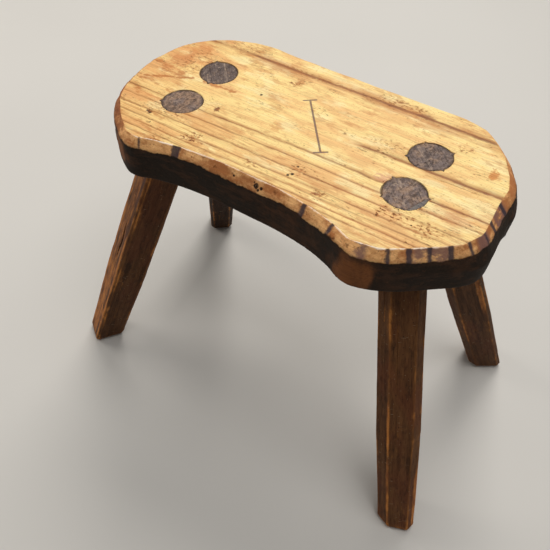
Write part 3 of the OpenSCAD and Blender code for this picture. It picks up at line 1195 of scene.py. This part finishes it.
# Where the legs' finish is worn through: direction and spread in degrees, lowest, highest, and how bare
LEG_WEAR = {
    "leg_front_left": (
        (234, 34, -60, 330, 0.36),
        (232, 34, -60, 150, 0.55),
        (200, 9, -60, 330, 0.6),
        (270, 6, -60, 200, 0.6),
    ),
    "leg_front_right": (
        (272, 4, 95, 176, 0.75),
        (271, 5, -40, 110, 0.42),
        (345, 8, -40, 95, 0.5),
        (272, 3, 150, 275, 0.08),
    ),
    "leg_back_left": (),
    "leg_back_right": ((340, 6, 120, 280, 0.4),),
}


def wear(leg, points):
    """How bare each point of the leg is, from 0 to 1."""
    offset, _ = from_axis(leg, points)
    angle = np.degrees(np.arctan2(offset[:, 1], offset[:, 0]))
    bare = np.zeros(len(points))
    ragged = noise(points, (6, 6, 14), 12)
    for direction, spread, low, high, share in LEG_WEAR[leg]:
        turned = np.abs((angle - direction + 180) % 360 - 180) + 0.3 * spread * ragged
        ends = ramp(points[:, 2], low, low + 20) * (1 - ramp(points[:, 2], high - 25, high))
        bare = np.maximum(bare, share * ends * (1 - ramp(turned, 0.5 * spread, 1.1 * spread)))
    return bare


def add_leg_facts(leg, piece):
    """Stores what the leg's two materials read, and gives its end grain to the tenon's end."""
    points = points_of(piece)
    number = LEGS.index(leg)
    keep(piece, "grain", in_leg(leg, points) + 400 * number)
    keep(piece, "height", points[:, 2])
    keep(piece, "proud", sharpness(piece, 10))
    # The leg's faces carry its painted shade; its tenon's end carries the end grain's own tone
    leg_shade, end_tone = LEG_SHADES_AND_END_TONES[leg]
    keep(piece, "tone", np.where(points[:, 2] > TOP - END_GRAIN_DEPTH - 0.5, end_tone, leg_shade))
    keep(piece, "bare", wear(leg, points))
    keep(piece, "to_rim", outside_rims(points, from_axis(leg, points)[1]))
    for polygon in piece.data.polygons:
        if polygon.center[2] > (TOP - END_GRAIN_DEPTH) * MM:
            polygon.material_index = 1


def dress(piece, node, materials):
    """Gives the piece its materials, rides it on the frame and lets it stand for its CAD node."""
    for material in materials:
        piece.data.materials.append(material)
    piece.data.shade_smooth()
    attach(piece, "root")
    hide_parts(node)


# ======== The stage ========

def area_light(name, place, size, power, tone, shine=1.0):
    """A soft square light that faces the middle of the seat; `shine` scales its reflections."""
    data = bpy.data.lights.new(name, "AREA")
    data.specular_factor = shine
    data.size = size
    data.energy = power
    data.color = tone
    light = add_object(name, data)
    light.location = place
    light.rotation_mode = "QUATERNION"
    light.rotation_quaternion = (LIGHT_TARGET - light.location).to_track_quat("-Z", "Y")


def stage():
    """Camera, lights, sky and floor."""
    scene = bpy.context.scene
    azimuth, elevation = math.radians(CAMERA_AZIMUTH), math.radians(CAMERA_ELEVATION)
    level = math.cos(elevation)
    back = Vector((math.sin(azimuth) * level, -math.cos(azimuth) * level, math.sin(elevation)))
    camera = add_object("camera", bpy.data.cameras.new("camera"))
    camera.data.lens = LENS
    camera.rotation_mode = "QUATERNION"
    roll = Matrix.Rotation(math.radians(CAMERA_ROLL), 3, "Z").to_quaternion()
    camera.rotation_quaternion = (-back).to_track_quat("-Z", "Y") @ roll
    camera.location = CAMERA_TARGET + back * CAMERA_DISTANCE
    scene.camera = camera
    scene.view_settings.view_transform = "Standard"

    area_light("key_light", (-0.5, 1.5, 2.3), 1.2, 40, (1.0, 0.965, 0.91))
    area_light("top_light", (0.6, 0.0, 2.4), 1.5, 22, (1.0, 0.98, 0.95))
    area_light("side_light", (-1.9, -0.2, 1.0), 0.9, 11, (1.0, 0.95, 0.88), shine=0.3)
    sky = bpy.data.worlds.new("studio")
    sky.use_nodes = True
    tone, strength = sky.node_tree.nodes["Background"].inputs[:2]
    tone.default_value = (1.0, 0.98, 0.95, 1.0)
    strength.default_value = 0.16
    scene.world = sky

    mesh = bpy.data.meshes.new("floor")
    corners = ((-1, -1), (1, -1), (1, 1), (-1, 1))
    mesh.from_pydata([(x * FLOOR_HALF, y * FLOOR_HALF, 0) for x, y in corners], [], [(0, 1, 2, 3)])
    mesh.materials.append(floor_finish())
    floor = add_object("floor", mesh)


def main():
    stage()
    seat = hewn_seat()
    add_seat_facts(seat)
    dress(seat, "seat", [pine()])
    leg_materials = [hardwood(), end_grain()]
    for number, leg in enumerate(LEGS):
        piece = shaved_leg(number, leg)
        add_leg_facts(leg, piece)
        dress(piece, leg, leg_materials)
    sliver = driven_sliver()
    keep(sliver, "grain", points_of(sliver))
    dress(sliver, SLIVER, [sliver_wood()])


main()
